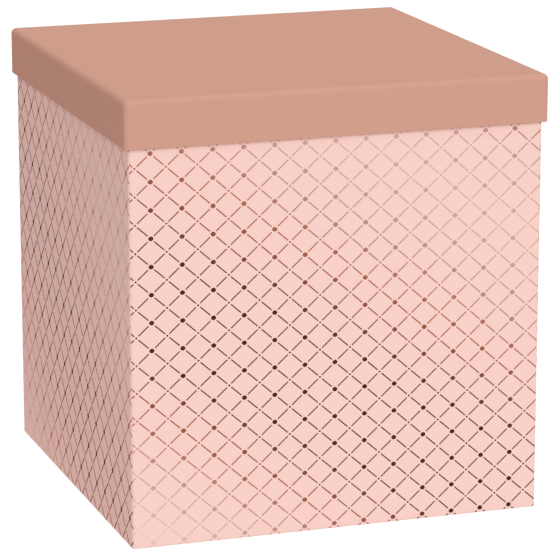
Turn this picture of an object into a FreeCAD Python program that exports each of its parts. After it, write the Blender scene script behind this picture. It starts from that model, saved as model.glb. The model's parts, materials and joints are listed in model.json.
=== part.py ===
"""Square flower box with a lift-off lid: a rigid set-up box of greyboard panels, taped at the
corners, wrapped in printed paper and lined inside.

Frame: origin at the centre of the underside, +Z up, -Y is the front. Millimetres.
"""

import os

import FreeCAD
import Part

# Overall sizes of the closed box
BOX_WIDTH = 200.0  # over the wrapped walls, left to right
BOX_DEPTH = 200.0  # over the wrapped walls, front to back
CLOSED_HEIGHT = 210.0  # underside to the top of the lid
LID_HEIGHT = 22.5  # outside height of the lid

# Thickness of the sheet materials
BOX_BOARD = 1.5  # greyboard of the floor and the walls
LID_BOARD = 1.5  # greyboard of the lid's top and skirts
WRAP_PAPER = 0.15  # covering paper of the box and the lid
BASE_PAPER = 0.15  # sheet pasted under the box
LINING_PAPER = 0.15  # coated white paper that lines the inside
STAY_PAPER = 0.1  # gummed tape that holds the corners

# Rounding that the boards get along their edges, under the paper
BOX_CORNER_ROUND = 1.45  # upright corners of the box
FOOT_ROUND = 0.5  # lower edge of the box
LID_EDGE_ROUND = 2.3  # top edges and upright corners of the lid
RIM_FOLD = 0.3  # outside of a wrap, where it turns in over the square rim of the boards

# How far the sheets reach
BOX_TURN_IN = 16.0  # box wrap, down the inside of the walls
LID_TURN_IN = 15.0  # lid wrap, up the inside of the skirts
TURN_UNDER = 14.0  # box wrap, in under the floor from the outer face
SEAM_LAP = 12.0  # the wrap's end lies over its start on the back wall
STAY_LEG = 14.0  # corner tape, on each side of its corner
LINING_DROP = 4.0  # bare turn-in between the rim and the wall lining
BASE_MARGIN = 4.0  # bare turn-under round the base sheet

# Clearances
LID_CLEARANCE = 0.2  # lid to the wrap's lapped seam, on each side
SHEET_CLEARANCE = 0.5  # loose-cut lining sheets to the walls round them
MITRE_GAP = 0.4  # slit between two turned-under or turned-in flaps at a corner
LINING_STEP = 0.3  # height in which the wall lining steps over the turn-in's edge

# Levels, from the underside up
BOARD_LOW = BASE_PAPER + WRAP_PAPER
FLOOR_TOP = BOARD_LOW + BOX_BOARD
LID_BOARD_TOP = CLOSED_HEIGHT - WRAP_PAPER
LID_BOARD_UNDER = LID_BOARD_TOP - LID_BOARD
RIM = LID_BOARD_UNDER - LINING_PAPER
WALL_TOP = RIM - WRAP_PAPER
SKIRT_LOW = CLOSED_HEIGHT - LID_HEIGHT
SKIRT_BOARD_LOW = SKIRT_LOW + WRAP_PAPER

# Faces of the box walls, as distances in from the wrapped outside
WALL_OUTSIDE = WRAP_PAPER + STAY_PAPER
WALL_INSIDE = WALL_OUTSIDE + BOX_BOARD
TURN_IN_FACE = WALL_INSIDE + WRAP_PAPER
LINING_FACE = WALL_INSIDE + LINING_PAPER

# Faces of the lid skirts, as distances out from the wrapped outside of the box
LID_INSIDE = WRAP_PAPER + LID_CLEARANCE
SKIRT_INSIDE = LID_INSIDE + WRAP_PAPER
SKIRT_OUTSIDE = SKIRT_INSIDE + LID_BOARD
LID_STAY_OUTSIDE = SKIRT_OUTSIDE + STAY_PAPER
LID_OUTSIDE = LID_STAY_OUTSIDE + WRAP_PAPER

SPARE = 1.0  # how far a cutting block runs past what it cuts
SAME = 1e-6  # two levels nearer than this are the same level

SIDES = {"front": (0, -1), "back": (0, 1), "left": (-1, 0), "right": (1, 0)}
CORNERS = {
    "front_left": (-1, -1),
    "front_right": (1, -1),
    "back_left": (-1, 1),
    "back_right": (1, 1),
}


def halves(outward):
    """Half width and half depth of the outline that lies this far outside the wrapped box."""
    return BOX_WIDTH / 2 + outward, BOX_DEPTH / 2 + outward


def span(x_low, x_high, y_low, y_high, z_low, z_high):
    """A plain block between two corners."""
    corner = FreeCAD.Vector(x_low, y_low, z_low)
    return Part.makeBox(x_high - x_low, y_high - y_low, z_high - z_low, corner)


def block(outward, z_low, z_high):
    """A plain block on the outline that lies this far outside the wrapped box."""
    half_x, half_y = halves(outward)
    return span(-half_x, half_x, -half_y, half_y, z_low, z_high)


def frame_of(outer, inner, z_low, z_high):
    """A square ring with plain edges, between two outlines."""
    return block(outer, z_low, z_high).cut(block(inner, z_low - SPARE, z_high + SPARE))


def level_edges(shape, level):
    """The edges that lie flat at one height."""
    return [e for e in shape.Edges if all(abs(v.Z - level) < SAME for v in e.Vertexes)]


def upright_edges(shape):
    """The edges that stand from one level to another."""
    return [e for e in shape.Edges if abs(e.Vertexes[0].Z - e.Vertexes[-1].Z) > SAME]


def wall_ring(outer, inner, z_low, z_high, corner_round, foot_round):
    """Four walls in one, open at both ends, rounded at the corners and along the foot outside."""
    solid = block(outer, z_low, z_high)
    solid = solid.makeFillet(corner_round, upright_edges(solid))
    solid = solid.makeFillet(foot_round, level_edges(solid, z_low))
    return solid.cut(block(inner, z_low - SPARE, z_high + SPARE))


def cap(outer, inner, z_low, z_under, z_top, edge_round):
    """A top with four skirts in one, rounded along the top and the corners."""
    solid = block(outer, z_low, z_top)
    solid = solid.makeFillet(edge_round, upright_edges(solid) + level_edges(solid, z_top))
    return solid.cut(block(inner, z_low - SPARE, z_under))


def fold_rim(shape, level):
    """Rounds both edges of a rim, as paper does where it turns in."""
    return shape.makeFillet(RIM_FOLD, level_edges(shape, level))


def side_slice(name, inner, z_low, z_high):
    """The space of one wall: front and back run the full width, left and right stand between them."""
    reach_x, reach_y = halves(LID_OUTSIDE + SPARE)
    inner_x, inner_y = halves(inner)
    x, y = SIDES[name]
    if y:
        ends = sorted((y * inner_y, y * reach_y))
        return span(-reach_x, reach_x, *ends, z_low, z_high)
    ends = sorted((x * inner_x, x * reach_x))
    return span(*ends, -inner_y, inner_y, z_low, z_high)


def corner_stay(name, board_face, board_round, z_low, z_high):
    """Gummed tape folded round one upright corner of the boards."""
    outer = block(board_face + STAY_PAPER, z_low, z_high)
    outer = outer.makeFillet(board_round + STAY_PAPER, upright_edges(outer))
    inner = block(board_face, z_low - SPARE, z_high + SPARE)
    inner = inner.makeFillet(board_round, upright_edges(inner))
    half_x, half_y = halves(board_face)
    x, y = CORNERS[name]
    x_ends = sorted((x * (half_x - STAY_LEG), x * (half_x + SPARE)))
    y_ends = sorted((y * (half_y - STAY_LEG), y * (half_y + SPARE)))
    return outer.cut(inner).common(span(*x_ends, *y_ends, z_low, z_high))


def box_boards():
    """The floor and the four walls, butted together."""
    walls = wall_ring(-WALL_OUTSIDE, -WALL_INSIDE, BOARD_LOW, WALL_TOP, BOX_CORNER_ROUND, FOOT_ROUND)
    boards = {"floor_board": block(-WALL_INSIDE, BOARD_LOW, FLOOR_TOP)}
    for name in SIDES:
        boards[f"{name}_wall_board"] = walls.common(
            side_slice(name, -WALL_INSIDE, BOARD_LOW, WALL_TOP)
        )
    return boards


def lid_boards():
    """The lid's top, laid over its four skirts."""
    boards_in_one = cap(
        SKIRT_OUTSIDE, SKIRT_INSIDE, SKIRT_BOARD_LOW, LID_BOARD_UNDER, LID_BOARD_TOP, LID_EDGE_ROUND
    )
    top_space = block(LID_OUTSIDE, LID_BOARD_UNDER, LID_BOARD_TOP)
    boards = {"lid_top_board": boards_in_one.common(top_space)}
    for name in SIDES:
        boards[f"lid_{name}_skirt_board"] = boards_in_one.common(
            side_slice(name, SKIRT_INSIDE, SKIRT_BOARD_LOW, LID_BOARD_UNDER)
        )
    return boards


def turn_in_slits(board_face, z_low, z_high):
    """Upright gaps between the flaps that are turned in, one in each inside corner."""
    half_x, half_y = halves(board_face)
    slits = []
    for x, y in CORNERS.values():
        x_ends = sorted((x * half_x, x * (half_x - MITRE_GAP)))
        y_ends = sorted((y * half_y, y * (half_y - MITRE_GAP)))
        slits.append(span(*x_ends, *y_ends, z_low, z_high))
    return slits


def turn_under_slits():
    """Diagonal gaps between the flaps that are turned under the floor."""
    half_x, half_y = halves(-(WALL_OUTSIDE + BOX_CORNER_ROUND))
    length = 2 * TURN_UNDER
    slit = span(-length, 0, -MITRE_GAP / 2, MITRE_GAP / 2, BASE_PAPER - SPARE, BOARD_LOW)
    slits = []
    for x, y in CORNERS.values():
        turned = slit.copy()
        turned.rotate(FreeCAD.Vector(), FreeCAD.Vector(0, 0, 1), 45 * y * (1 if x > 0 else 3))
        turned.translate(FreeCAD.Vector(x * half_x, y * half_y, 0))
        slits.append(turned)
    return slits


def box_wrap():
    """Printed strip round the walls: turned in over the rim, turned under the floor, lapped at the back."""
    outside = wall_ring(
        0,
        -TURN_IN_FACE,
        BASE_PAPER,
        RIM,
        BOX_CORNER_ROUND + WALL_OUTSIDE,
        FOOT_ROUND + WRAP_PAPER,
    )
    covered = wall_ring(
        -WRAP_PAPER,
        -WALL_INSIDE,
        BOARD_LOW,
        WALL_TOP,
        BOX_CORNER_ROUND + STAY_PAPER,
        FOOT_ROUND,
    )
    below_turn_in = block(-WALL_INSIDE, BASE_PAPER - SPARE, RIM - BOX_TURN_IN)
    flaps_under = frame_of(-WALL_INSIDE, -TURN_UNDER, BASE_PAPER, BOARD_LOW)
    half_x, half_y = halves(0)
    seam_start = -half_x + BOX_CORNER_ROUND + WALL_OUTSIDE
    lap = span(
        seam_start,
        -half_x + SEAM_LAP,
        half_y,
        half_y + WRAP_PAPER,
        BASE_PAPER + FOOT_ROUND + WRAP_PAPER,
        RIM - RIM_FOLD,
    )
    sheet = fold_rim(outside, RIM).cut(covered).cut(below_turn_in)
    slits = turn_under_slits() + turn_in_slits(-WALL_INSIDE, RIM - BOX_TURN_IN, RIM - RIM_FOLD)
    return sheet.fuse([flaps_under, lap]).cut(slits).removeSplitter()


def lid_wrap():
    """Plain sheet over the lid: folded down the skirts and turned in under their rim."""
    outside = cap(
        LID_OUTSIDE,
        LID_INSIDE,
        SKIRT_LOW,
        LID_BOARD_UNDER,
        CLOSED_HEIGHT,
        LID_EDGE_ROUND + STAY_PAPER + WRAP_PAPER,
    )
    covered = cap(
        LID_STAY_OUTSIDE,
        SKIRT_INSIDE,
        SKIRT_BOARD_LOW,
        LID_BOARD_UNDER,
        LID_BOARD_TOP,
        LID_EDGE_ROUND + STAY_PAPER,
    )
    sheet = fold_rim(outside, SKIRT_LOW).cut(covered)
    turn_in_top = SKIRT_LOW + LID_TURN_IN
    if turn_in_top < LID_BOARD_UNDER:
        sheet = sheet.cut(block(SKIRT_INSIDE, turn_in_top, LID_BOARD_UNDER))
    slits = turn_in_slits(SKIRT_INSIDE, SKIRT_LOW + RIM_FOLD, LID_BOARD_UNDER)
    return sheet.cut(slits).removeSplitter()


def wall_lining():
    """Coated strip round the inside, on the boards below and over the wrap's turn-in above."""
    turn_in_low = RIM - BOX_TURN_IN
    step_low = turn_in_low - LINING_STEP
    over_turn_in = TURN_IN_FACE + LINING_PAPER
    on_boards = frame_of(-WALL_INSIDE, -LINING_FACE, FLOOR_TOP, step_low)
    step = frame_of(-WALL_INSIDE, -over_turn_in, step_low, turn_in_low)
    on_turn_in = frame_of(-TURN_IN_FACE, -over_turn_in, turn_in_low, RIM - LINING_DROP)
    return on_boards.fuse([step, on_turn_in]).removeSplitter()


def flat_sheets():
    """The sheets that are pasted in or on flat: under the box, on its floor and inside the lid."""
    floor_edge = -LINING_FACE - SHEET_CLEARANCE
    lid_edge = SKIRT_INSIDE - SHEET_CLEARANCE
    return {
        "base_sheet": block(-BASE_MARGIN, 0, BASE_PAPER),
        "floor_lining": block(floor_edge, FLOOR_TOP, FLOOR_TOP + LINING_PAPER),
        "lid_lining": block(lid_edge, RIM, LID_BOARD_UNDER),
    }


def corner_stays():
    """Four tapes on the box and four on the lid."""
    stays = {}
    for name in CORNERS:
        stays[f"box_corner_stay_{name}"] = corner_stay(
            name, -WALL_OUTSIDE, BOX_CORNER_ROUND, BOARD_LOW + FOOT_ROUND, WALL_TOP
        )
        stays[f"lid_corner_stay_{name}"] = corner_stay(
            name,
            SKIRT_OUTSIDE,
            LID_EDGE_ROUND,
            SKIRT_BOARD_LOW,
            LID_BOARD_TOP - LID_EDGE_ROUND,
        )
    return stays


def main():
    pieces = {
        **box_boards(),
        **lid_boards(),
        **corner_stays(),
        **flat_sheets(),
        "box_wrap": box_wrap(),
        "lid_wrap": lid_wrap(),
        "wall_lining": wall_lining(),
    }
    os.makedirs("parts", exist_ok=True)
    for name, shape in pieces.items():
        shape.exportStep(f"parts/{name}.step")


main()
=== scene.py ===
"""Looks of a square flower box: paper-wrapped walls with a lattice in rose-gold foil, and a plain
lid that lifts off. Metres, in the frame of the solids."""

import json
import math
from typing import NamedTuple

import bmesh
import bpy
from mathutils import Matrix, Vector


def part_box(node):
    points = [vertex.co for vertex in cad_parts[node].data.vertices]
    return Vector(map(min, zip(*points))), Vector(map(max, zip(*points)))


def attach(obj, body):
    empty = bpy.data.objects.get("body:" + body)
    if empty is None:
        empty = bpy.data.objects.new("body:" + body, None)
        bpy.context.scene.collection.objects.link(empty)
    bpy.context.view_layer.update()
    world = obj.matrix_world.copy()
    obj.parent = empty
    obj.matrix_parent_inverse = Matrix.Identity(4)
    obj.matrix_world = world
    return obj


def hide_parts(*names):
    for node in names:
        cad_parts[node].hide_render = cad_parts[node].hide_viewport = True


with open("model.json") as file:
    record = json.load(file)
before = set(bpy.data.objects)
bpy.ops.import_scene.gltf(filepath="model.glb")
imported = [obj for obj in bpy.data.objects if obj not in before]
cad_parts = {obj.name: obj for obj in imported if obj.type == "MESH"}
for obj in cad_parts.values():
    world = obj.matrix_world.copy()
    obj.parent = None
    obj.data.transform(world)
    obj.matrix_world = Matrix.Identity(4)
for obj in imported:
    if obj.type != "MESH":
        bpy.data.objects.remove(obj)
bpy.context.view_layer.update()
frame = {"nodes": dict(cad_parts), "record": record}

MM = 0.001
HAIR = 0.002 * MM  # two places nearer than this are the same place
FLAT = math.radians(1)  # two faces at less than this are one flat sheet
FOLDED = math.radians(60)  # two faces at more than this are a fold
SMOOTH = math.radians(35)  # two faces at less than this are shaded as one curve
FACING = 0.9  # a face whose normal has more than this along a direction faces that way

# Where the two wraps are, from the solids
wrap_low, wrap_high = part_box("box_wrap")
lid_low, lid_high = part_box("lid_wrap")
BOX_HALF = wrap_high.x
LID_HALF = lid_high.x

# Sheets and folds
PAPER = 0.15 * MM
BOX_CORNER = 1.7 * MM  # outside radius of the box's upright corners
LID_EDGE = 2.55 * MM  # outside radius of the lid's top edges and upright corners
RIM_FOLD = 0.3 * MM  # outside radius where a wrap turns in
FOOT_FOLD = 0.65 * MM  # outside radius where the box wrap turns under
RIM_WIDTH = 1.9 * MM  # board, tape and paper, as seen on the rim
BOX_TURN_IN = 16 * MM
LID_TURN_IN = 15 * MM
TURN_UNDER = 14 * MM
SLIT = 0.4 * MM  # between two flaps at an inside corner
SEAM_LAP = 12 * MM
FOLD_STEPS = 4  # flats in a quarter turn of a rim or foot
CORNER_STEPS = 6  # flats in an upright corner of the box
LID_CORNER_STEPS = 8  # flats in an upright corner of the lid
LID_EDGE_STEPS = 6  # flats in a top edge of the lid

# The foil lattice
FOIL_SUNK = 0.03 * MM
FOIL_PROUD = 0.03 * MM
FOIL_SLOPE = 0.03 * MM  # run of the foil's sloping edge
LARGE_GAP = 1.95 * MM  # centre of a large dot to the end of a dash
SMALL_GAP = 1.25 * MM
PRINT_INSIDE = 5 * MM  # how far the print shows down the turned-in flap
LARGE_DOT_CORNERS = 14
SMALL_DOT_CORNERS = 10
DASH_CLIP = 0.25  # what is clipped from a dash's corners, as a share of its width
SPARE_REPEATS = 2  # repeats past the strip's edge, for the cut to take off
FLAT_MAP = "OFBake"  # the print's map, as it lies flat


class Lattice(NamedTuple):
    """Sizes of a wall's lattice."""

    across: float  # its repeat
    up: float
    first_column: float  # from the wall's left edge
    lowest_row: float  # above the table
    dash_width: float
    large_dot: float  # half its width, as a share of the repeat
    small_dot: float


FRONT_LATTICE = Lattice(
    across=14.68 * MM,
    up=13.04 * MM,
    first_column=10.1 * MM,
    lowest_row=2.5 * MM,
    dash_width=0.61 * MM,
    large_dot=0.085,
    small_dot=0.037,
)
SIDE_LATTICE = Lattice(
    across=13.95 * MM,
    up=14.7 * MM,
    first_column=14.5 * MM,
    lowest_row=14 * MM,
    dash_width=0.76 * MM,
    large_dot=0.1,
    small_dot=0.042,
)

# The printed strip as it lies flat: the length and fold radius of each run, from under the foot
QUARTER_TURN = math.pi / 2
CORNER_START = BOX_HALF - BOX_CORNER
WALL_START = wrap_low.z + FOOT_FOLD
WALL_END = wrap_high.z - RIM_FOLD
STRIP_RUNS = (
    (FOOT_FOLD * QUARTER_TURN, FOOT_FOLD),
    (WALL_END - WALL_START, None),
    (RIM_FOLD * QUARTER_TURN, RIM_FOLD),
    (RIM_WIDTH - 2 * RIM_FOLD, None),
    (RIM_FOLD * QUARTER_TURN, RIM_FOLD),
    (PRINT_INSIDE, None),
)
STRIP_LOW = WALL_START - FOOT_FOLD * QUARTER_TURN
STRIP_HIGH = STRIP_LOW + sum(length for length, radius in STRIP_RUNS)
CORNER_REACH = CORNER_START + BOX_CORNER * QUARTER_TURN / 2  # to the middle of a corner, lying flat
FLAP_REACH = BOX_HALF - RIM_WIDTH - SLIT

# Parts of a wall's print: lowest, highest, left and right on the flat strip, and how far it is raised
RIM_PRINT = (WALL_END, STRIP_HIGH, -FLAP_REACH, FLAP_REACH, 0)
PLAIN_PRINT = ((STRIP_LOW, WALL_END, -CORNER_REACH, CORNER_REACH, 0), RIM_PRINT)
LAP_EDGE = BOX_HALF - SEAM_LAP
LAPPED_PRINT = (
    (STRIP_LOW, WALL_END, -CORNER_REACH, LAP_EDGE, 0),
    (STRIP_LOW, WALL_START, LAP_EDGE, CORNER_START, 0),
    (WALL_START, WALL_END, LAP_EDGE, CORNER_START, PAPER),
    (STRIP_LOW, WALL_END, CORNER_START, CORNER_REACH, 0),
    RIM_PRINT,
)


# Modelling


def alone(piece):
    """Makes one piece the selected, active one."""
    bpy.ops.object.select_all(action="DESELECT")
    piece.select_set(True)
    bpy.context.view_layer.objects.active = piece


def named(piece, name):
    """Names a piece and its mesh."""
    piece.name = name
    piece.data.name = name
    return piece


def settle():
    """Moves the selected piece's place, turn and size into its mesh."""
    bpy.ops.object.transform_apply(location=True, rotation=True, scale=True)


def add_block(low, high):
    """A block between two corners, open for editing."""
    low = Vector(low)
    high = Vector(high)
    bpy.ops.object.select_all(action="DESELECT")
    bpy.ops.mesh.primitive_cube_add(size=1, location=(low + high) / 2, scale=high - low)
    settle()
    bpy.ops.object.mode_set(mode="EDIT")
    return bpy.context.object


def pick_faces(piece, wanted):
    """Selects the faces whose middle and normal are wanted, and nothing else."""
    bpy.ops.mesh.select_mode(type="FACE")
    bpy.ops.mesh.select_all(action="DESELECT")
    mesh = bmesh.from_edit_mesh(piece.data)
    mesh.normal_update()
    for face in mesh.faces:
        face.select_set(wanted(face.calc_center_median(), face.normal))
    bmesh.update_edit_mesh(piece.data)


def pick_edges(piece, wanted):
    """Selects the wanted edges, and nothing else."""
    bpy.ops.mesh.select_mode(type="EDGE")
    bpy.ops.mesh.select_all(action="DESELECT")
    mesh = bmesh.from_edit_mesh(piece.data)
    mesh.normal_update()
    for edge in mesh.edges:
        edge.select_set(wanted(edge))
    bmesh.update_edit_mesh(piece.data)


def same(a, b):
    """True of two measures that differ by less than a hair."""
    return abs(a - b) < HAIR


def reach(point):
    """Distance from the upright axis, measured square."""
    return max(abs(point.x), abs(point.y))


def is_level(edge, level):
    """True of an edge that lies at a height."""
    return all(same(end.co.z, level) for end in edge.verts)


def is_upright_corner(edge, half):
    """True of the upright edge where two walls meet."""
    low_end, high_end = (end.co for end in edge.verts)
    return (
        same(low_end.x, high_end.x)
        and same(low_end.y, high_end.y)
        and same(abs(low_end.x), half)
        and same(abs(low_end.y), half)
    )


def apply_modifier(piece, kind, **settings):
    """Adds a modifier with these settings and applies it."""
    modifier = piece.modifiers.new(kind.title(), kind)
    for name, value in settings.items():
        setattr(modifier, name, value)
    bpy.ops.object.modifier_apply(modifier=modifier.name)


def clear_corner_fans(piece, level, inside):
    """Joins the slivers that rounding an upright corner leaves in a rim or foot at a level."""
    pick_edges(
        piece,
        lambda edge: is_level(edge, level)
        and edge.calc_face_angle(FOLDED) < FLAT
        and all(reach(end.co) > inside + HAIR for end in edge.verts),
    )
    bpy.ops.mesh.dissolve_edges(use_verts=False)


def slit_inside_corners(piece, half):
    """Parts the turned-in flaps from each other in the four inside corners."""
    flap_end = half - SLIT
    for way in ((1, 0, 0), (-1, 0, 0), (0, 1, 0), (0, -1, 0)):
        pick_faces(piece, lambda middle, normal: same(reach(middle), half))
        bpy.ops.mesh.bisect(plane_co=Vector(way) * flap_end, plane_no=way)
    pick_faces(
        piece,
        lambda middle, normal: same(reach(middle), half) and min(abs(middle.x), abs(middle.y)) > flap_end,
    )
    bpy.ops.mesh.delete(type="FACE")


def slit_mitres(piece, level):
    """Parts the turned-under flaps from each other along the four diagonals at a level."""
    for side in (Vector((1, 1, 0)).normalized(), Vector((1, -1, 0)).normalized()):
        for edge_of_slit in (SLIT / 2, -SLIT / 2):
            pick_faces(piece, lambda middle, normal: same(middle.z, level))
            bpy.ops.mesh.bisect(plane_co=side * edge_of_slit, plane_no=side)
    pick_faces(
        piece,
        lambda middle, normal: same(middle.z, level) and abs(abs(middle.x) - abs(middle.y)) < SLIT,
    )
    bpy.ops.mesh.delete(type="FACE")


def round_folds(piece, level, radius, inside):
    """Rounds every fold at a level."""
    clear_corner_fans(piece, level, inside)
    pick_edges(piece, lambda edge: is_level(edge, level) and edge.calc_face_angle(0) > FOLDED)
    bpy.ops.mesh.bevel(offset=radius, segments=FOLD_STEPS, affect="EDGES")


def make_sheet(piece):
    """Gives a folded surface the thickness of paper, inwards."""
    bpy.ops.object.mode_set(mode="OBJECT")
    apply_modifier(piece, "SOLIDIFY", thickness=PAPER, offset=-1)


def smooth_folds(piece):
    """Shades folds as curves and keeps the sheets between them flat."""
    alone(piece)
    bpy.ops.object.shade_smooth_by_angle(angle=SMOOTH)
    apply_modifier(piece, "WEIGHTED_NORMAL", keep_sharp=True)


def model_lid_wrap():
    """Plain sheet: over the top, down the skirts, round their rim and up inside."""
    piece = named(add_block(lid_low, lid_high), "lid_paper_wrap")
    inside = LID_HALF - RIM_WIDTH
    pick_faces(piece, lambda middle, normal: normal.z < -FACING)
    bpy.ops.mesh.inset(thickness=RIM_WIDTH)
    bpy.ops.mesh.extrude_region_move(TRANSFORM_OT_translate={"value": (0, 0, LID_TURN_IN)})
    bpy.ops.mesh.delete(type="ONLY_FACE")
    pick_edges(piece, lambda edge: is_upright_corner(edge, LID_HALF))
    bpy.ops.mesh.bevel(offset=LID_EDGE, segments=LID_CORNER_STEPS, affect="EDGES")
    pick_edges(piece, lambda edge: is_level(edge, lid_high.z))
    bpy.ops.mesh.bevel(offset=LID_EDGE, segments=LID_EDGE_STEPS, affect="EDGES")
    round_folds(piece, lid_low.z, RIM_FOLD, inside)
    slit_inside_corners(piece, inside)
    make_sheet(piece)
    smooth_folds(piece)
    return piece


def model_box_wrap():
    """Printed strip: round the walls, over the rim and down inside, and turned under the floor."""
    low = (-BOX_HALF, -BOX_HALF, wrap_low.z)
    high = (BOX_HALF, BOX_HALF, wrap_high.z)
    piece = named(add_block(low, high), "box_paper_wrap")
    inside = BOX_HALF - RIM_WIDTH
    pick_faces(piece, lambda middle, normal: normal.z < -FACING)
    bpy.ops.mesh.inset(thickness=TURN_UNDER)
    bpy.ops.mesh.delete(type="ONLY_FACE")
    pick_faces(piece, lambda middle, normal: normal.z > FACING)
    bpy.ops.mesh.inset(thickness=RIM_WIDTH)
    bpy.ops.mesh.extrude_region_move(TRANSFORM_OT_translate={"value": (0, 0, -BOX_TURN_IN)})
    bpy.ops.mesh.delete(type="ONLY_FACE")
    pick_edges(piece, lambda edge: is_upright_corner(edge, BOX_HALF))
    bpy.ops.mesh.bevel(offset=BOX_CORNER, segments=CORNER_STEPS, affect="EDGES")
    round_folds(piece, wrap_high.z, RIM_FOLD, inside)
    round_folds(piece, wrap_low.z, FOOT_FOLD, inside)
    slit_mitres(piece, wrap_low.z)
    slit_inside_corners(piece, inside)
    pick_faces(piece, lambda middle, normal: normal.y > FACING and same(middle.y, BOX_HALF))
    bpy.ops.mesh.bisect(plane_co=(-BOX_HALF + SEAM_LAP, 0, 0), plane_no=(1, 0, 0))
    make_sheet(piece)
    bpy.ops.object.mode_set(mode="EDIT")
    pick_faces(
        piece,
        lambda middle, normal: normal.y > FACING
        and same(middle.y, BOX_HALF)
        and middle.x < -BOX_HALF + SEAM_LAP,
    )
    bpy.ops.mesh.extrude_region_move(TRANSFORM_OT_translate={"value": (0, PAPER, 0)})
    bpy.ops.object.mode_set(mode="OBJECT")
    smooth_folds(piece)
    return piece


def slope_foil(piece, half_width, half_height):
    """Draws in the outer face of a pad of foil, so that its edge slopes."""
    pick_faces(piece, lambda middle, normal: normal.y < -FACING)
    bpy.ops.transform.resize(
        value=(1 - FOIL_SLOPE / half_width, 1, 1 - FOIL_SLOPE / half_height),
        center_override=(0, 0, 0),
    )
    bpy.ops.object.mode_set(mode="OBJECT")


def model_dot(half_width, half_height, corners):
    """An oval dot of foil that faces the front, at the origin."""
    bpy.ops.object.select_all(action="DESELECT")
    bpy.ops.mesh.primitive_cylinder_add(
        vertices=corners,
        radius=1,
        depth=FOIL_SUNK + FOIL_PROUD,
        rotation=(QUARTER_TURN, 0, 0),
    )
    settle()
    bpy.ops.object.mode_set(mode="EDIT")
    bpy.ops.transform.resize(value=(half_width, 1, half_height), center_override=(0, 0, 0))
    slope_foil(bpy.context.object, half_width, half_height)
    return bpy.context.object


def model_dash(length, width):
    """A level dash of foil that faces the front, with clipped ends, at the origin."""
    half = Vector((length, FOIL_SUNK + FOIL_PROUD, width)) / 2
    dash = add_block(-half, half)
    pick_edges(dash, lambda edge: not same(edge.verts[0].co.y, edge.verts[1].co.y))
    bpy.ops.mesh.bevel(offset=DASH_CLIP * width, segments=1, affect="EDGES")
    slope_foil(dash, half.x, half.z)
    return dash


def lay_foil(pad, place, slant):
    """A copy of a pad, laid on the front wall at a place across and up, at a slant."""
    alone(pad)
    bpy.ops.object.duplicate()
    copy = bpy.context.object
    copy.location = (place.x, -BOX_HALF + (FOIL_SUNK - FOIL_PROUD) / 2, place.y)
    copy.rotation_euler = (0, -slant, 0)
    settle()
    return copy


def join(pieces):
    """Makes one piece of several."""
    alone(pieces[0])
    for piece in pieces:
        piece.select_set(True)
    bpy.ops.object.join()
    return bpy.context.object


def model_repeat(lattice, start, dot_finish, dash_finish):
    """One repeat of the lattice: a large dot at the start, four dashes and a small dot."""
    step = Vector((lattice.across, lattice.up))
    half_step = step / 2
    large_dot = model_dot(*(lattice.large_dot * step), LARGE_DOT_CORNERS)
    small_dot = model_dot(*(lattice.small_dot * step), SMALL_DOT_CORNERS)
    dash = model_dash(half_step.length - LARGE_GAP - SMALL_GAP, lattice.dash_width)
    for pad, finish in ((large_dot, dot_finish), (small_dot, dot_finish), (dash, dash_finish)):
        pad.data.materials.append(finish)
    laid = [lay_foil(large_dot, start, 0), lay_foil(small_dot, start + half_step, 0)]
    dash_middle = (LARGE_GAP + half_step.length - SMALL_GAP) / 2
    for across_sign in (1, -1):
        for up_sign in (1, -1):
            way = Vector((across_sign * half_step.x, up_sign * half_step.y)).normalized()
            laid.append(lay_foil(dash, start + way * dash_middle, math.atan2(way.y, way.x)))
    for pad in (large_dot, small_dot, dash):
        bpy.data.objects.remove(pad)
    return join(laid)


def cut_print(piece, low, high, left, right):
    """Trims a flat print to a part of the strip."""
    bpy.ops.object.mode_set(mode="EDIT")
    for place, outward in (
        ((left, 0, 0), (-1, 0, 0)),
        ((right, 0, 0), (1, 0, 0)),
        ((0, 0, low), (0, 0, -1)),
        ((0, 0, high), (0, 0, 1)),
    ):
        bpy.ops.mesh.select_all(action="SELECT")
        bpy.ops.mesh.bisect(plane_co=place, plane_no=outward, use_fill=True, clear_outer=True)
    bpy.ops.mesh.select_all(action="SELECT")
    bpy.ops.mesh.delete_loose()
    bpy.ops.object.mode_set(mode="OBJECT")


def strip_creases():
    """Heights on the flat strip where it bends."""
    height = STRIP_LOW
    creases = []
    for length, radius in STRIP_RUNS:
        steps = FOLD_STEPS if radius else 1
        creases += [height + length * step / steps for step in range(steps)]
        height += length
    return creases


def crease_print(piece):
    """Cuts a flat print across wherever the strip bends."""
    corner_step = BOX_CORNER * QUARTER_TURN / CORNER_STEPS
    corner_creases = [CORNER_START + corner_step * step for step in range(CORNER_STEPS // 2)]
    bpy.ops.object.mode_set(mode="EDIT")
    for crease in strip_creases():
        bpy.ops.mesh.select_all(action="SELECT")
        bpy.ops.mesh.bisect(plane_co=(0, 0, crease), plane_no=(0, 0, 1))
    for crease in corner_creases:
        for side in (1, -1):
            bpy.ops.mesh.select_all(action="SELECT")
            bpy.ops.mesh.bisect(plane_co=(side * crease, 0, 0), plane_no=(1, 0, 0))
    bpy.ops.object.mode_set(mode="OBJECT")


def along_strip(height):
    """Where a height on the flat strip comes to lie: distance out and up, and the way the paper faces."""
    place = Vector((BOX_HALF - FOOT_FOLD, wrap_low.z))
    heading = 0
    left_over = height - STRIP_LOW
    for length, radius in STRIP_RUNS:
        part = min(left_over, length)
        facing = Vector((math.sin(heading), -math.cos(heading)))
        if radius:
            centre = place - radius * facing
            heading += part / radius
            place = centre + radius * Vector((math.sin(heading), -math.cos(heading)))
        else:
            place = place + part * Vector((math.cos(heading), math.sin(heading)))
        left_over -= part
        if left_over < HAIR:
            break
    return place, Vector((math.sin(heading), -math.cos(heading)))


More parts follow.
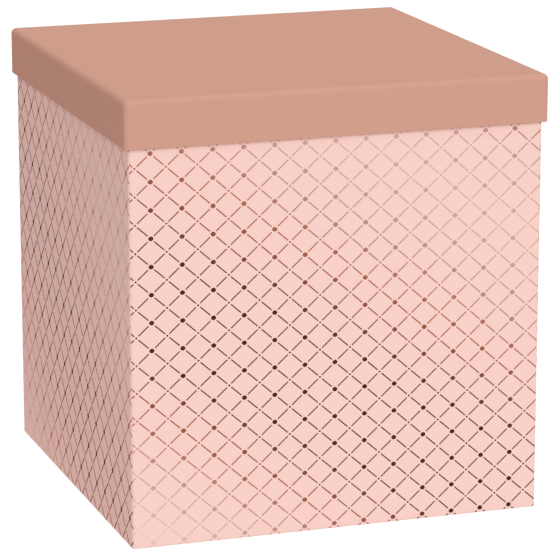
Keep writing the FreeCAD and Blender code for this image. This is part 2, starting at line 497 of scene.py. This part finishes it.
def fold_print(piece, raised):
    """Folds a flat print round the foot, the rim and the upright corners with the paper."""
    for vertex in piece.data.vertices:
        across, depth, height = vertex.co
        place, facing = along_strip(height)
        out, up = place + facing * (raised - BOX_HALF - depth)
        turn = max(abs(across) - CORNER_START, 0) / BOX_CORNER
        radius = out - CORNER_START
        if turn:
            across = math.copysign(CORNER_START + radius * math.sin(turn), across)
            out = CORNER_START + radius * math.cos(turn)
        vertex.co = (across, -out, up)


def lay_flat_map(piece):
    """A map that shows the print as it lies flat."""
    layer = piece.data.uv_layers.new(name=FLAT_MAP)
    for corner in piece.data.loops:
        across, depth, height = piece.data.vertices[corner.vertex_index].co
        layer.data[corner.index].uv = (
            (across + CORNER_REACH) / (2 * CORNER_REACH),
            (height - STRIP_LOW) / (STRIP_HIGH - STRIP_LOW),
        )


def model_lattice(lattice, parts, finishes):
    """The lattice of one wall, made on the front: one repeat, copied across and up, cut and folded."""
    start = Vector((-BOX_HALF + lattice.first_column, lattice.lowest_row))
    while start.x > -CORNER_REACH:
        start.x -= lattice.across
    while start.y > STRIP_LOW:
        start.y -= lattice.up
    sheet = model_repeat(lattice, start, *finishes)
    columns = math.ceil((CORNER_REACH - start.x) / lattice.across) + SPARE_REPEATS
    rows = math.ceil((STRIP_HIGH - start.y) / lattice.up) + SPARE_REPEATS
    for step, count in (((lattice.across, 0, 0), columns), ((0, 0, lattice.up), rows)):
        apply_modifier(
            sheet,
            "ARRAY",
            count=count,
            use_relative_offset=False,
            use_constant_offset=True,
            constant_offset_displace=step,
        )
    prints = []
    for low, high, left, right, raised in parts:
        alone(sheet)
        bpy.ops.object.duplicate()
        part = bpy.context.object
        cut_print(part, low, high, left, right)
        crease_print(part)
        lay_flat_map(part)
        fold_print(part, raised)
        prints.append(part)
    bpy.data.objects.remove(sheet)
    return join(prints)


def turn_in_place(piece, turn):
    """Turns a piece about the upright axis."""
    alone(piece)
    piece.rotation_euler = (0, 0, turn)
    settle()


def turned_copy(piece, turn, name):
    """A copy with its own mesh, turned about the upright axis."""
    alone(piece)
    bpy.ops.object.duplicate()
    copy = named(bpy.context.object, name)
    turn_in_place(copy, turn)
    return copy


# Materials


class Value:
    """A number or colour that varies over a surface, with the sums written on it."""

    def __init__(self, finish, socket):
        self.finish = finish
        self.socket = socket

    def maths(self, operation, first, second):
        """The result of a sum on two values or numbers."""
        return self.finish.add("ShaderNodeMath", {"operation": operation}, {0: first, 1: second})

    def __add__(self, other):
        return self.maths("ADD", self, other)

    __radd__ = __add__

    def __sub__(self, other):
        return self.maths("SUBTRACT", self, other)

    def __rsub__(self, other):
        return self.maths("SUBTRACT", other, self)

    def __mul__(self, other):
        return self.maths("MULTIPLY", self, other)

    __rmul__ = __mul__


class Finish:
    """The nodes of a material or a world in the making."""

    def __init__(self, holder, shader="Principled BSDF"):
        holder.use_nodes = True
        self.holder = holder
        self.tree = holder.node_tree
        self.shader = self.tree.nodes[shader]

    def add(self, kind, settings, sockets, output=0):
        """One node: its settings first, then the values or links of its sockets."""
        node = self.tree.nodes.new(kind)
        for name, value in settings.items():
            if name == "stops":
                set_stops(node.color_ramp, value)
            else:
                setattr(node, name, value)
        for key, value in sockets.items():
            self.feed(node.inputs[key], value)
        return Value(self, node.outputs[output])

    def feed(self, socket, value):
        """Links a value to a socket, or sets the socket to a number or colour."""
        if isinstance(value, Value):
            self.tree.links.new(value.socket, socket)
        else:
            socket.default_value = value

    def shade(self, sockets):
        """Feeds the shader."""
        for name, value in sockets.items():
            self.feed(self.shader.inputs[name], value)

    def in_sight(self):
        """1 where the camera looks straight at it, and 0 where it only lights other things."""
        return self.add("ShaderNodeLightPath", {}, {}, "Is Camera Ray")

    def place(self):
        """Place on the piece in metres."""
        return self.add("ShaderNodeTexCoord", {}, {}, "Object")

    def flat_place(self):
        """Place on the flat print in metres: across from the middle of the wall, and up."""
        share = self.add("ShaderNodeUVMap", {"uv_map": FLAT_MAP}, {}, "UV")
        size = (2 * CORNER_REACH, STRIP_HIGH - STRIP_LOW, 0)
        low = (-CORNER_REACH, STRIP_LOW, 0)
        return self.add(
            "ShaderNodeVectorMath", {"operation": "MULTIPLY_ADD"}, {0: share, 1: size, 2: low}
        )

    def noise(self, scale, detail, stretch=(1, 1, 1)):
        """Cloudy grain, with its repeats per metre."""
        place = self.add("ShaderNodeMapping", {}, {"Vector": self.place(), "Scale": stretch})
        return self.add(
            "ShaderNodeTexNoise", {}, {"Vector": place, "Scale": scale, "Detail": detail}, "Fac"
        )

    def between(self, amount, first, second):
        """A colour between two colours."""
        return self.add(
            "ShaderNodeMix", {"data_type": "RGBA"}, {0: amount, 6: first, 7: second}, 2
        )

    def bump(self, height, depth):
        """A surface that rises and falls by a depth in metres."""
        return self.add(
            "ShaderNodeBump", {}, {"Strength": 1.0, "Distance": depth, "Height": height}, "Normal"
        )


def new_finish(name):
    """The finish of a new material."""
    return Finish(bpy.data.materials.new(name))


def set_stops(ramp, stops):
    """Gives a colour ramp its places and shades."""
    while len(ramp.elements) < len(stops):
        ramp.elements.new(1)
    for element, (place, shade) in zip(ramp.elements, stops):
        element.position = place
        element.color = shade


def colour(red, green, blue):
    """A colour as a picture gives it, from 0 to 255, made linear by the sRGB curve."""
    out = []
    for part in (red, green, blue):
        share = part / 255
        out.append(share / 12.92 if share <= 0.04045 else ((share + 0.055) / 1.055) ** 2.4)
    return (*out, 1)


def scaled(shade, factor):
    """A lighter or darker shade."""
    return (*(min(part * factor, 1) for part in shade[:3]), 1)


def about(middle, spread, grain):
    """A value that follows a grain, from half the spread below a middle to half above it."""
    return middle + spread * (grain - 0.5)


FIBRE_SHARE = 0.65  # of the fibres in a paper's grain, the rest being clouds


def paper_finish(name, shade, spread, roughness, grain_depth):
    """Matt paper: fine fibres over a faint cloudiness, in colour, gloss and relief."""
    finish = new_finish(name)
    fibres = finish.noise(scale=1800, detail=3)
    clouds = finish.noise(scale=60, detail=2)
    mixed = FIBRE_SHARE * fibres + (1 - FIBRE_SHARE) * clouds
    finish.shade(
        {
            "Base Color": finish.between(mixed, scaled(shade, 1 - spread), scaled(shade, 1 + spread)),
            "Roughness": about(roughness, 0.16, fibres),
            "Normal": finish.bump(fibres, grain_depth),
            "Specular IOR Level": 0.01,
        }
    )
    return finish.holder


# Foil shades: blush, pale, rose, copper and dark. Their run from pale to dark is a painted reflection of
# the studio in the foil, not a print
FRONT_DOT_SHADES = (
    colour(225, 203, 191),
    colour(214, 177, 165),
    colour(204, 161, 148),
    colour(171, 99, 77),
    colour(81, 46, 31),
)
FRONT_DASH_SHADES = (
    colour(237, 208, 195),
    colour(225, 184, 169),
    colour(215, 166, 149),
    colour(185, 103, 75),
    colour(106, 50, 12),
)
# The sides carry the same foil as the front and back. Their shades are painted warmer for how light falls
# on the sides: painted light and shade
SIDE_DOT_SHADES = (
    colour(230, 200, 186),
    colour(220, 173, 159),
    colour(210, 155, 140),
    colour(180, 102, 78),
    colour(112, 66, 40),
)
SIDE_DASH_SHADES = (
    colour(243, 212, 198),
    colour(234, 187, 172),
    colour(226, 168, 151),
    colour(198, 114, 88),
    colour(134, 66, 34),
)
FOIL_EDGE_TINT = (0.5, 0.32, 0.24, 1)  # what the foil throws back at a glancing angle
FOIL_WANDER = 0.01  # how far the grain shifts a shade along the run
FRONT_SLANT = 0.39  # share of the run from shade to shade that goes across the wall, not up
SIDE_SLANT = 0.5


def foil_finish(name, across_share, shades):
    """Rose-gold foil whose colour runs from pale through copper to dark and back along a slant on its
    wall: a painted reflection of the studio in the foil.
    """
    blush, pale, rose, copper, dark = shades
    stops = (
        (0.03, blush),
        (0.13, rose),
        (0.21, copper),
        (0.31, dark),
        (0.48, dark),
        (0.605, copper),
        (0.74, rose),
        (0.82, pale),
        (0.92, rose),
        (1.0, copper),
    )
    finish = new_finish(name)
    shown_height = lid_low.z
    run = (across_share / (2 * BOX_HALF), (1 - across_share) / shown_height, 0)
    along = finish.add(
        "ShaderNodeVectorMath", {"operation": "DOT_PRODUCT"}, {0: finish.flat_place(), 1: run}, "Value"
    )
    grain = finish.noise(scale=2500, detail=2)
    slant = along + about(across_share / 2, FOIL_WANDER, grain)
    finish.shade(
        {
            # the ramp paints the foil's reflection into its base colour
            "Base Color": finish.add("ShaderNodeValToRGB", {"stops": stops}, {"Fac": slant}),
            "Metallic": 0.25,
            "Specular IOR Level": 0.0,
            "Specular Tint": FOIL_EDGE_TINT,
            "Roughness": about(0.42, 0.12, grain),
            "Normal": finish.bump(grain, 0.004 * MM),
        }
    )
    return finish.holder


FLECK_STRENGTH = 0.5  # how far a fleck is darkened


def greyboard_finish():
    """Recycled board: grey-brown, with dark flecks and a felted face."""
    finish = new_finish("greyboard")
    felt = finish.noise(scale=700, detail=4)
    flecks = finish.noise(scale=2600, detail=1)
    dark_flecks = finish.add(
        "ShaderNodeMapRange", {}, {"Value": flecks, "From Min": 0.64, "From Max": 0.72}
    )
    body = finish.between(felt, colour(150, 143, 130), colour(188, 181, 168))
    finish.shade(
        {
            "Base Color": finish.between(FLECK_STRENGTH * dark_flecks, body, colour(86, 80, 72)),
            "Roughness": about(0.85, 0.1, felt),
            "Normal": finish.bump(felt, 0.02 * MM),
            "Specular IOR Level": 0.2,
        }
    )
    return finish.holder


def tape_finish():
    """Brown gummed paper tape, with its fibres along the corner."""
    finish = new_finish("gummed_tape")
    fibres = finish.noise(scale=900, detail=3, stretch=(1, 1, 0.15))
    finish.shade(
        {
            "Base Color": finish.between(fibres, colour(176, 134, 92), colour(204, 164, 120)),
            "Roughness": about(0.6, 0.2, fibres),
            "Normal": finish.bump(fibres, 0.01 * MM),
        }
    )
    return finish.holder


# The light that the floor casts: all round, beside the box, and in front of it
FLOOR_GLOW = (0.49, 0.405, 0.395, 1)
BESIDE_GLOW = (0.64, 0.535, 0.52, 1)
FRONT_GLOW = (0.65, 0.65, 0.65, 1)
SEEN_WHITE = (1, 1, 1, 1)  # the floor and the background as the camera sees them
BESIDE_REACH = 150 * MM  # how far from the box the light beside it fades out
FRONT_BLEND = 3 * MM  # over which the light in front sets in
FLOOR_SHADES = ((0.07, 0.07, 0.07, 1), (0.09, 0.09, 0.09, 1))  # kept dark, so that no shadow shows


def floor_finish():
    """A white table that throws soft light up, most of it beside the box and in front of it."""
    finish = new_finish("studio_floor")
    clouds = finish.noise(scale=3, detail=2)
    across = finish.add("ShaderNodeSeparateXYZ", {}, {"Vector": finish.place()}, "X")
    depth = finish.add("ShaderNodeSeparateXYZ", {}, {"Vector": finish.place()}, "Y")
    beside = finish.add(
        "ShaderNodeMapRange",
        {},
        {"Value": across * across, "From Min": (BOX_HALF + BESIDE_REACH) ** 2, "From Max": BOX_HALF**2},
    )
    in_front = finish.add(
        "ShaderNodeMapRange",
        {},
        {"Value": depth, "From Min": -BOX_HALF, "From Max": -BOX_HALF - FRONT_BLEND},
    )
    behind_the_front = finish.between(beside, FLOOR_GLOW, BESIDE_GLOW)
    glow = finish.between(in_front, behind_the_front, FRONT_GLOW)
    finish.shade(
        {
            "Base Color": finish.between(clouds, *FLOOR_SHADES),
            "Roughness": 0.9,
            "Specular IOR Level": 0.0,
            "Emission Color": finish.between(finish.in_sight(), glow, SEEN_WHITE),
            "Emission Strength": 1.0,
        }
    )
    return finish.holder


# The box and the lid

BOX_PINK = colour(248, 209, 200)
LID_ROSE = colour(209, 158, 139)
LINING_WHITE = colour(250, 248, 247)
BASE_CREAM = colour(236, 229, 221)

box_paper = paper_finish(
    "box_pink_paper", BOX_PINK, spread=0.015, roughness=0.62, grain_depth=0.006 * MM
)
lid_paper = paper_finish(
    "lid_rose_paper", LID_ROSE, spread=0.02, roughness=0.66, grain_depth=0.008 * MM
)
lining_paper = paper_finish(
    "white_lining", LINING_WHITE, spread=0.012, roughness=0.42, grain_depth=0.004 * MM
)
base_paper = paper_finish(
    "base_sheet_paper", BASE_CREAM, spread=0.02, roughness=0.7, grain_depth=0.008 * MM
)

node_finishes = {
    "greyboard": greyboard_finish(),
    "stay_tape": tape_finish(),
    "lining_paper": lining_paper,
    "base_paper": base_paper,
    "box_paper": box_paper,
    "lid_paper": lid_paper,
}
for subpart in frame["record"]["subparts"]:
    node = frame["nodes"][subpart["node"]]
    for slot in node.material_slots:
        slot.material = node_finishes[subpart["material_slot"]]

lid_wrap = model_lid_wrap()
lid_wrap.data.materials.append(lid_paper)
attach(lid_wrap, "lid")
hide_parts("lid_wrap")

box_wrap = model_box_wrap()
box_wrap.data.materials.append(box_paper)
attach(box_wrap, "box")
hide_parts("box_wrap")

front_finishes = [
    foil_finish("foil_dots_front_and_back", FRONT_SLANT, FRONT_DOT_SHADES),
    foil_finish("foil_dashes_front_and_back", FRONT_SLANT, FRONT_DASH_SHADES),
]
# the sides' foil: the same foil, with shades painted for the light that falls on the sides
side_finishes = [
    foil_finish("foil_dots_sides", SIDE_SLANT, SIDE_DOT_SHADES),
    foil_finish("foil_dashes_sides", SIDE_SLANT, SIDE_DASH_SHADES),
]
front_lattice = named(model_lattice(FRONT_LATTICE, PLAIN_PRINT, front_finishes), "foil_lattice_front")
back_lattice = named(model_lattice(FRONT_LATTICE, LAPPED_PRINT, front_finishes), "foil_lattice_back")
left_lattice = named(model_lattice(SIDE_LATTICE, PLAIN_PRINT, side_finishes), "foil_lattice_left")
right_lattice = turned_copy(left_lattice, QUARTER_TURN, "foil_lattice_right")
turn_in_place(left_lattice, -QUARTER_TURN)
turn_in_place(back_lattice, 2 * QUARTER_TURN)
for piece in (front_lattice, back_lattice, left_lattice, right_lattice):
    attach(piece, "box")


# Studio

FLOOR_SIZE = 14
AMBIENT = 0.58  # how bright the room is as a light, where 1 is what the camera sees
bpy.ops.object.select_all(action="DESELECT")
bpy.ops.mesh.primitive_plane_add(size=FLOOR_SIZE, location=(0, 0, 0))
floor = named(bpy.context.object, "studio_floor")
floor.data.materials.append(floor_finish())


def add_light(name, azimuth, elevation, strength, softness):
    """A soft distant light: degrees from the front to the right, degrees up, and degrees across."""
    bpy.ops.object.light_add(type="SUN")
    light = bpy.context.object
    light.name = name
    light.data.energy = strength
    light.data.angle = math.radians(softness)
    light.rotation_euler = (math.radians(90 - elevation), 0, math.radians(azimuth))


add_light("key_light", azimuth=-2, elevation=25, strength=1.19, softness=40)
add_light("overhead_light", azimuth=0, elevation=90, strength=0.49, softness=12)
add_light("back_light", azimuth=135, elevation=30, strength=0.5, softness=40)

world = Finish(bpy.data.worlds.new("studio"), "Background")
brightness = world.add(
    "ShaderNodeMapRange", {}, {"Value": world.in_sight(), "To Min": AMBIENT, "To Max": 1}
)
world.shade({"Color": SEEN_WHITE, "Strength": brightness})
bpy.context.scene.world = world.holder

# Camera, fitted to the corners of the box and the lid in the photograph

CAMERA_AZIMUTH = math.radians(-18.79)
CAMERA_ELEVATION = math.radians(14.09)
CAMERA_DISTANCE = 1.6021
CAMERA_TARGET = Vector((5.37 * MM, 0, 95.46 * MM))
CAMERA_LENS = 210.26
CAMERA_SENSOR = 36

back = Vector(
    (
        math.sin(CAMERA_AZIMUTH) * math.cos(CAMERA_ELEVATION),
        -math.cos(CAMERA_AZIMUTH) * math.cos(CAMERA_ELEVATION),
        math.sin(CAMERA_ELEVATION),
    )
)
bpy.ops.object.camera_add(location=CAMERA_TARGET + back * CAMERA_DISTANCE)
camera = bpy.context.object
camera.rotation_euler = back.to_track_quat("Z", "Y").to_euler()
camera.data.lens = CAMERA_LENS
camera.data.sensor_width = CAMERA_SENSOR
bpy.context.scene.camera = camera
bpy.context.scene.view_settings.view_transform = "Standard"
